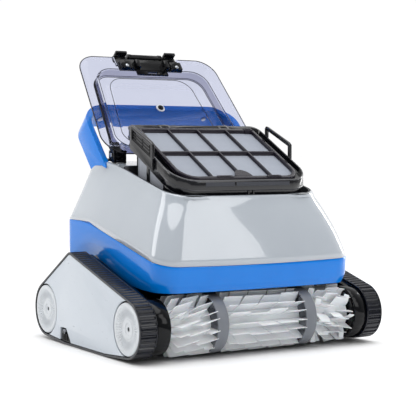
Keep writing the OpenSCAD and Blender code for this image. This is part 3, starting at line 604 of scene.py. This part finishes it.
for sd, nm in ((-1, "left"), (1, "right")):
    track(sd)
    hub(sd, -AXLE_Y, "front_hub_" + nm)
    hub(sd, AXLE_Y, "rear_hub_" + nm)
    refine("side_panel_" + nm, PANEL, 0.7, 3)
    refine("side_frame_" + nm, GLOSS, 0.6)
    for wheel in ("front_wheel_", "rear_wheel_"):
        refine(wheel + nm, BLACK, 0.6)
    refine("drive_sprocket_" + nm, DARK, 0.5)
    refine("drive_motor_" + nm, MOTOR, 0.8)

# ---------- brushes ----------

SLEEVE_IN, SLEEVE_OUT = 25.1, 27.4
SLEEVE_R = 26.6           # where the tabs are rooted
FIN_TIPS = (44.8, 46.1)   # the range of radii that their tips reach
FIN_STEPS, FIN_THICK = 5, 0.75
FIN_END = 161.4           # no tab reaches further out than this
FIN_ROWS = 18
# Per sleeve: its two ends, its tabs per row, the helix its tabs follow, and the ranges from which each
# tab draws its lean, its curl, its slide along the brush and the lift of its far corner.
SLEEVES = (
    (-160.5, -91.5, 2, -0.0055, (-0.03, 0.03), (-0.03, 0.03), (6.0, 0.8), (0.0, 0.5)),
    (-68.5, 68.5, 4, 0.0, (-0.05, 0.05), (-0.05, 0.05), (4.5, 1.0), (0.0, 1.0)),
    (91.5, 160.5, 3, 0.004, (-0.12, 0.12), (-0.25, 0.25), (4.0, 3.0), (-0.5, 2.5)))


def tab(bm, y, x0, x1, base, lean, curl, slide, tip, lift, helix):
    """One soft flat tab, rooted on the sleeve, leaning round the tube and drifting along it."""
    front, back = [], []
    for i in range(FIN_STEPS + 1):
        f = i / FIN_STEPS
        r = SLEEVE_R + (tip - SLEEVE_R) * f
        a = base + lean * f + curl * f * f
        dx = slide * f ** 1.4
        t = (FIN_THICK - 0.2 * f) / r
        for row, q in ((front, a + t), (back, a - t)):
            points = []
            for x, e in ((x0 + 0.2 * f, 0.0), ((x0 + x1) / 2, 0.4), (x1 - 0.5 * f, 1.0)):
                radius, turn = r - lift * f * f * e, q + helix * (x - x0)
                points.append(bm.verts.new(P(max(-FIN_END, min(FIN_END, x + dx)),
                                             y + radius * math.cos(turn), AXLE_Z + radius * math.sin(turn))))
            row.append(points)
    for i in range(FIN_STEPS):
        for j in (0, 1):
            bm.faces.new((front[i][j], front[i][j + 1], front[i + 1][j + 1], front[i + 1][j]))
            bm.faces.new((back[i][j], back[i + 1][j], back[i + 1][j + 1], back[i][j + 1]))
        bm.faces.new((front[i][0], front[i + 1][0], back[i + 1][0], back[i][0]))
        bm.faces.new((front[i][2], back[i][2], back[i + 1][2], front[i + 1][2]))
    for k, flip in ((-1, 1), (0, -1)):    # closes the tip and the root
        for j in (0, 1):
            q = (front[k][j], front[k][j + 1], back[k][j + 1], back[k][j])
            bm.faces.new(q[::flip])


def fins(y, name, seed):
    """Rows of soft slit tabs: broad and straight in the middle sleeve, swept round in the outer ones."""
    rnd = random.Random(seed)
    bm = bmesh.new()
    for x0, x1, count, helix, leans, curls, (slide, slide_by), lifts in SLEEVES:
        skin = []
        for x, r in ((x0, SLEEVE_IN), (x0, SLEEVE_OUT), (x1, SLEEVE_OUT), (x1, SLEEVE_IN)):
            skin.append([P(x, y + r * math.cos(a), AXLE_Z + r * math.sin(a))
                         for a in (2 * math.pi * k / 64 for k in range(64))])
        loft(bm, skin + [skin[0]])
        offset = 0.5 if helix else 0.0
        wide = (x1 - x0) / count
        for k in range(FIN_ROWS):
            base = 2 * math.pi * (k + offset) / FIN_ROWS
            shift = wide * 0.5 if k % 2 else 0.0
            edges = [x0] + [x0 + wide * (t + 1) - shift for t in range(count)] + ([x1] if shift else [])
            for a0, a1 in zip(edges, edges[1:]):
                lean, curl = rnd.uniform(*leans), rnd.uniform(*curls)
                drift, lift = slide + rnd.uniform(-slide_by, slide_by), rnd.uniform(*lifts)
                tab(bm, y, a0 + 0.5, a1 - 0.5, base - helix * (a1 - a0) / 2, lean, curl, drift,
                    rnd.uniform(*FIN_TIPS), lift, helix)
    place(name + "_fins_look", bm, FIN, name, (name + "_fins",), 45)


def joint_bands(y, name):
    """The smooth band round each joint of the sleeves, on six webs."""
    bm = bmesh.new()
    band = [(43.4, -9.6), (44.5, -9.4), (44.8, -8.7), (44.8, 8.7), (44.5, 9.4), (43.4, 9.6),
            (42.7, 9.3), (42.5, 8.4), (42.5, -8.4), (42.7, -9.3), (43.4, -9.6)]
    core = [(25.05, -9.6), (27, -9.6), (27, 9.6), (25.05, 9.6), (25.05, -9.6)]
    for x in (-80, 80):
        turned(bm, band, x, y, AXLE_Z, 1, 96)
        turned(bm, core, x, y, AXLE_Z, 1, 64)
        for k in range(6):
            c, s = math.cos(math.radians(60 * k)), math.sin(math.radians(60 * k))
            loft(bm, [[P(x + dx, y + r * c - w * s, AXLE_Z + r * s + w * c)
                       for dx, w in ((-5, -1.1), (5, -1.1), (5, 1.1), (-5, 1.1))] for r in (26.8, 42.8)],
                 cap_start=True, cap_end=True)
    bmesh.ops.remove_doubles(bm, verts=bm.verts, dist=0.00001)
    place(name + "_rings_look", bm, RING, name, (name + "_rings",), 35)


for yy, nm, seed in ((-AXLE_Y, "front_brush", 3), (AXLE_Y, "rear_brush", 8)):
    fins(yy, nm, seed)
    joint_bands(yy, nm)
    refine(nm + "_tube", BLACK, 0.8)

# ---------- lid ----------


def lid_ring(g, y0, y1, r0, r1, z):
    """A rounded outline at z, g narrower than the lid on each side, from y0 to y1 along it.

    r0 and r1 are the corner radii at the hinge end and at the latch end.
    """
    w0, w1 = LID_HALF_HINGE - g, LID_HALF_LATCH - g
    corners = (arc(w1 - r1, y1 - r1, r1, 3, 90), arc(r1 - w1, y1 - r1, r1, 90, 177),
               arc(r0 - w0, y0 + r0, r0, 183, 270), arc(w0 - r0, y0 + r0, r0, 270, 357))
    pts = []
    for corner, following in zip(corners, corners[1:] + corners[:1]):
        pts += corner + straight(corner[-1], following[0], LID_STEPS)
    return [in_lid(x, y, z) for x, y in pts]


def flange(g, z):
    """An outline g inside the outer rim of the lid."""
    return lid_ring(g, g - 4, LID_L - g, 40 - g * 0.5, 36 - g * 0.5, z)


def dome(g, z):
    """An outline g inside the wall of the lid's raised middle."""
    return lid_ring(26 + g, 10 + g, LID_L - 28 - g, 27 - g * 0.6, 31 - g * 0.7, z)


def lid_cover():
    """The clear cover: its outer side from the middle outwards, its rim, and its inner side back inwards."""
    bm = bmesh.new()
    loft(bm, [
        dome(30, -11.15), dome(4.6, -11.15), dome(1.9, -10.4), dome(0.5, -8.6), dome(0.0, 4.2),
        dome(-1.0, 5.5), dome(-2.4, 5.85), flange(1.1, 5.85), flange(0.3, 6.2), flange(0.02, 7.0),
        flange(0.02, 7.7), flange(0.3, 8.5), flange(1.1, 8.78), dome(1.4, 8.78), dome(2.6, 8.4),
        dome(3.1, 7.2), dome(3.7, -5.4), dome(4.8, -7.4), dome(6.8, -8.2), dome(29.0, -8.2),
        dome(30.0, -7.5), dome(31.0, -7.5)], cap_start=True, cap_end=True)
    ob = place("lid_cover_look", bm, CLEAR, "lid", ("lid_cover",), 40)
    cut = bmesh.new()
    for s in (-1, 1):    # room for each hinge arm, on both sides of the flange
        cube(cut, (s * 123.7 - 12.5, -30, 0), (s * 123.7 + 12.5, 13.5, 22), in_lid)
        cube(cut, (s * 123.8 - 6.8, -1, -20), (s * 123.8 + 6.8, 22.2, 5.8), in_lid)
    cube(cut, (-62, LID_L - 18, 0), (62, LID_L + 14, 22), in_lid)    # room for the latch
    carve(ob, cut)
    ob.data.set_sharp_from_angle(angle=math.radians(40))
    ob.data.materials.append(SMOKE)
    upright = Matrix.Rotation(-LEAN, 3, "X")
    for f in ob.data.polygons:    # the steep walls of the raised middle are the darker ones
        steep = abs((upright @ f.normal).z) < 0.75
        if steep and (upright @ (f.center - P(0, HINGE_Y, HINGE_Z))).z < 0.007:
            f.material_index = 1


def lid_lines():
    """The dark moulded edges of the lid: its rim, the two edges of the raised middle, and the inner panel."""
    bm = bmesh.new()
    rim = lid_ring(0.5, -3.5, LID_L - 0.5, 39.7, 35.7, 7.35)
    latch_z = P(0, 0, HINGE_Z + 150).z
    rim = [p for p in rim if abs(p.x) >= 0.0625 or p.z <= latch_z]    # open behind the latch
    k = max(range(len(rim)), key=lambda i: (rim[i] - rim[i - 1]).length)
    bead(bm, rim[k:] + rim[:k], 1.0, False)
    bead(bm, dome(1.2, 8.75), 0.6)
    bead(bm, dome(0.2, -9.2), 0.65)
    bead(bm, dome(5.0, -8.0), 0.6)
    bead(bm, lid_ring(54, 32, LID_L - 35, 26, 30, -8.35), 0.6)
    place("lid_edge_lines", bm, LINE, "lid", (), 60)


def lid_vent():
    """A pale button with a dark stepped plug, on the inner side of the lid: the pale is a painted highlight
    and the dark a painted reflection.
    """
    _, y, z = centre("lid_vent")
    y, z = (y - MID_Y) * 1000 - HINGE_Y, z * 1000 - HINGE_Z
    along = y * math.cos(LEAN) + z * math.sin(LEAN)
    bm = bmesh.new()
    rod(bm, in_lid(0, along, -8.15), in_lid(0, along, -6.6), 8.2, 48, 7.6)
    place("lid_vent_look", bm, VENT_PAINTED_HIGHLIGHT, "lid", ("lid_vent",), 30, 0.3)
    # The dark stepped plug is a painted reflection on the clear boss.
    bm = bmesh.new()
    rod(bm, in_lid(0, along, -6.8), in_lid(0, along, -5.0), 5.2, 40, 4.6)
    rod(bm, in_lid(0, along, -5.2), in_lid(0, along, -3.4), 2.4, 24, 1.9)
    place("lid_vent_painted_reflection", bm, BLACK, "lid", (), 30, 0.3)


lid_cover()
lid_lines()
lid_vent()

# ---------- nodes kept in shape, with rounded edges ----------

for node, mat, bevel in (
        ("chassis_tub", BLACK, 0.8), ("base_plate", DARK, 0.8), ("base_screws", STEEL, 0.3),
        ("inlet_ducts", DARK, 0.6), ("inlet_flap_left", DARK, 0.3), ("inlet_flap_right", DARK, 0.3),
        ("filter_well", DARK, 0.7), ("carry_handle", BLUE, 4.0), ("handle_screws", STEEL, 0.3),
        ("hinge_brackets", GLOSS, 0.7), ("hinge_pins", STEEL, 0.3), ("wheel_axles", STEEL, 0.4),
        ("pump_motor", MOTOR, 0.8), ("impeller", ROTOR, 0.4), ("outlet_duct", DARK, 0.4),
        ("outlet_grille", BLACK, 0.3), ("control_box", DARK, 1.2), ("cable_gland", BLACK, 0.5),
        ("lid_hinge_arms", GLOSS, 0.6), ("latch_base", GLOSS, 0.5), ("latch_screws", STEEL, 0.3),
        ("latch_button", GLOSS, 0.7), ("latch_pin", STEEL, 0.2), ("latch_hook_left", GLOSS, 0.6),
        ("latch_hook_right", GLOSS, 0.6), ("basket_ring", BASKET, 0.6), ("basket_cage", BASKET, 0.5),
        ("basket_mesh", SIDE_MESH, 0.2), ("basket_handles", BASKET, 1.0),
        ("basket_top_frame", FRAME, 0.8), ("basket_top_mesh", MESH, 0.2)):
    refine(node, mat, bevel, 3 if bevel > 0.9 else 2)

# ---------- small moulded details ----------

BASKET_Z, BASKET_SLOPE = 328.2, 0.532    # the sloping top plane of the lifted basket


def lid_seal():
    bm = bmesh.new()
    bead(bm, opening(0.6), 0.55)
    place("lid_seal_look", bm, SEAL, "chassis", ("lid_seal",), 40)


def on_top(x, y, d):
    """A place on the sloping top of the basket, d below its plane."""
    return P(x, y, BASKET_Z + BASKET_SLOPE * y - d)


def round_basket(g, d):
    """A line round the ring of the basket, g inside its outer wall and d below its top plane."""
    lo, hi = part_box("basket_ring")
    hw, yf, yb = hi[0] * 1000 - g, (lo[1] - MID_Y) * 1000 + g, (hi[1] - MID_Y) * 1000 - g
    front, back = (pad(hw, yf, yb, r - g, 0) for r in (40, 16))
    return [on_top(x, y, d) for x, y in (a if a[1] < -50 else b for a, b in zip(front, back))]


def handle_details():
    """The ribbed back of the hollow handle on the left, and a glossy line along both handles."""
    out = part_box("basket_handles")[1][0] * 1000
    edge = [(7.3, 325.6), (7.3, 340.2), (-52.3, 314.4), (-52.3, 297.4)]
    bottom_back, top_back, top_front, bottom_front = (Vector(p) for p in edge)
    bm = bmesh.new()
    loft(bm, [[P(x, y, z) for y, z in edge] for x in (3.9 - out, 3.0 - out)], cap_start=True, cap_end=True)
    for k in (0.0, 0.3, 0.6, 0.93):
        a, b = bottom_back.lerp(top_back, k), bottom_front.lerp(top_front, k)
        rod(bm, P(2.4 - out, a[0] - 0.6, a[1] + 0.4), P(2.4 - out, b[0] + 0.6, b[1] + 0.4), 0.75, 8)
    for k in (0.12, 0.5, 0.88):
        a, b = bottom_back.lerp(bottom_front, k), top_back.lerp(top_front, k)
        rod(bm, P(2.6 - out, a[0], a[1] + 0.6), P(2.6 - out, b[0], b[1] - 0.6), 0.6, 8)
    place("handle_web_left", bm, BASKET, "basket", (), 30)
    rail = [(13.3, 343.9), (10.6, 346.9), (6.0, 345.6), (-54.6, 319.8), (-57.9, 316.6), (-57.9, 280)]
    for s, nm in ((-1, "left"), (1, "right")):
        bm = bmesh.new()
        bead(bm, [P(s * (out - 0.4), y, z) for y, z in rail], 0.55, False)
        place("handle_rim_" + nm, bm, LIP, "basket", (), 60)


def basket_details():
    """Lips, tabs, a grey inlay and ribs round the ring and the top frame of the basket."""
    bm = bmesh.new()
    for g, d, r in ((0.5, 16.2, 0.75), (0.6, 1.7, 0.8), (2.0, 28.6, 0.7)):
        bead(bm, round_basket(g, d), r)
    place("basket_ring_lips", bm, LIP, "basket", (), 60)
    bm = bmesh.new()
    for a, b in ((-48, -20), (44, 70)):
        cube(bm, (a, -117.6, 0.1), (b, -113.4, -1.5), on_top)
        cube(bm, (a + 4, -116.6, -1.4), (b - 4, -114.4, -2.2), on_top)
    finger_pull = [(3 + 15 * math.cos(math.radians(a)), -113 + 17 * math.sin(math.radians(a)))
                   for a in range(0, 181, 10)]
    loft(bm, [[on_top(x, y, d) for x, y in finger_pull] for d in (-0.25, 5.6)], cap_start=True, cap_end=True)
    cube(bm, (92, 23, 5.6), (108, 29.2, -1.2), on_top)
    cube(bm, (95, 25, -1.0), (105, 27.6, -2.2), on_top)
    place("basket_top_tabs", bm, FRAME, "basket_top", (), 30, 0.4)
    bm = bmesh.new()
    for x0, x1 in ((-74, -22), (-19, 80)):
        cube(bm, (x0, -124.15, 3.2), (x1, -123.6, 9.4), on_top)
    place("basket_ring_inlay", bm, INLAY, "basket", (), 30, 0.25)
    bm = bmesh.new()
    for x in (2, 11):
        cube(bm, (x, -124.4, 16.4), (x + 3, -121.8, 28.6), on_top)
    for s in (-1, 1):
        cube(bm, (s * 125.2, -60, 16.5), (s * 125.9, 20, 18.5), on_top)
        for y in (-2, -14, -26, -38):
            cube(bm, (s * 125.4, y - 1.2, 11.5), (s * 126.2, y + 1.2, 15.6), on_top)
    place("basket_ring_ribs", bm, BASKET, "basket", (), 30, 0.3)


def panel_details():
    """Ribs and a small clip in the notch of each side panel."""
    for sd, nm in ((-1, "left"), (1, "right")):
        bm = bmesh.new()
        x0 = TRACK_OUT - 8
        for k in range(6):
            y = 47.5 + 6.2 * k
            cube(bm, (sd * x0, y, 5.2), (sd * (x0 + 5.2), y + 2.2, 12 + 1.6 * k))
        cube(bm, (sd * x0, 45, 4.4), (sd * (x0 + 5.6), 85, 6.2))
        place("notch_ribs_" + nm, bm, GLOSS, "chassis", (), 30, 0.3)
        bm = bmesh.new()
        cube(bm, (sd * x0, 70, 19.5), (sd * (x0 + 5.8), 79, 23.5))
        cube(bm, (sd * x0, 73, 15.5), (sd * (x0 + 5.8), 76, 19.6))
        place("notch_clip_" + nm, bm, RING, "chassis", (), 30, 0.4)


lid_seal()
basket_details()
handle_details()
panel_details()

# ---------- floor, light and camera ----------

FLOOR_HALF, FLOOR_Z = 60, -0.0004    # metres
me = bpy.data.meshes.new("floor")
me.from_pydata([(x * FLOOR_HALF, y * FLOOR_HALF, FLOOR_Z) for x, y in ((-1, -1), (1, -1), (1, 1), (-1, 1))],
               [], [(0, 1, 2, 3)])
floor = bpy.data.objects.new("floor", me)
bpy.context.collection.objects.link(floor)
me.materials.append(material("floor_pale", "FCFCFC", 0.7, vary=0.1, bump=0.02, grain=300))

# The world is brighter behind the part, as the camera sees it, than behind the camera.
WORLD_BRIGHT = (0.44, 0.88, 0.0)
WORLD_RANGE, WORLD_STRENGTH = (-0.35, 0.75), (0.25, 1.02)
world = bpy.data.worlds.new("studio")
bpy.context.scene.world = world
world.use_nodes = True
wt = world.node_tree
around = wt.nodes.new("ShaderNodeTexCoord").outputs["Generated"]
along = wt.nodes.new("ShaderNodeVectorMath")
along.operation = "DOT_PRODUCT"
wt.links.new(around, along.inputs[0])
along.inputs[1].default_value = WORLD_BRIGHT
background = wt.nodes["Background"]
wt.links.new(spread(wt, along.outputs["Value"], *WORLD_RANGE, *WORLD_STRENGTH), background.inputs["Strength"])
background.inputs["Color"].default_value = (1, 1, 1, 1)


def soft_box(name, away, dist, sx, sy, radiance):
    """An area light at a distance in a direction from the middle of the part, aimed at it."""
    lamp = bpy.data.lights.new(name, "AREA")
    lamp.shape = "RECTANGLE"
    lamp.size, lamp.size_y = sx, sy
    lamp.energy = radiance * math.pi * sx * sy
    ob = bpy.data.objects.new(name, lamp)
    bpy.context.collection.objects.link(ob)
    mid = P(0, 0, 190)
    ob.location = mid + Vector(away).normalized() * dist
    ob.rotation_euler = (mid - ob.location).to_track_quat("-Z", "Y").to_euler()


soft_box("front_box", (0.36, -0.80, 0.535), 2.3, 0.78, 1.5, 2.3)
soft_box("right_strip", (0.95, 0.10, 0.27), 1.9, 0.30, 1.3, 7.0)
soft_box("left_strip", (-0.80, 0.30, 0.53), 1.9, 0.62, 1.4, 2.8)
lamp = bpy.data.lights.new("soft_top", "SUN")
lamp.energy = 1.68
lamp.angle = math.radians(55)
top_light = bpy.data.objects.new("soft_top", lamp)
bpy.context.collection.objects.link(top_light)
top_light.rotation_euler = (math.radians(8), math.radians(-4), 0)
bpy.context.scene.view_settings.view_transform = "Standard"

# The photo's camera, as solved from it: where it stands, where it looks, and its lens.
CAM_AT = Vector((-1.0480, -1.7179 + MID_Y, 0.3052))
CAM_LOOK = Vector((0.52233, 0.85154, -0.04527)).normalized()
cam = bpy.data.cameras.new("photo_camera")
cam.sensor_width = 36.0
cam.lens = 107.33
cam.clip_start = 0.05
cam_ob = bpy.data.objects.new("photo_camera", cam)
bpy.context.collection.objects.link(cam_ob)
right = CAM_LOOK.cross(Vector((0, 0, 1))).normalized()
turn = Matrix((right, right.cross(CAM_LOOK), -CAM_LOOK)).transposed()
cam_ob.matrix_world = Matrix.Translation(CAM_AT) @ turn.to_4x4()
bpy.context.scene.camera = cam_ob
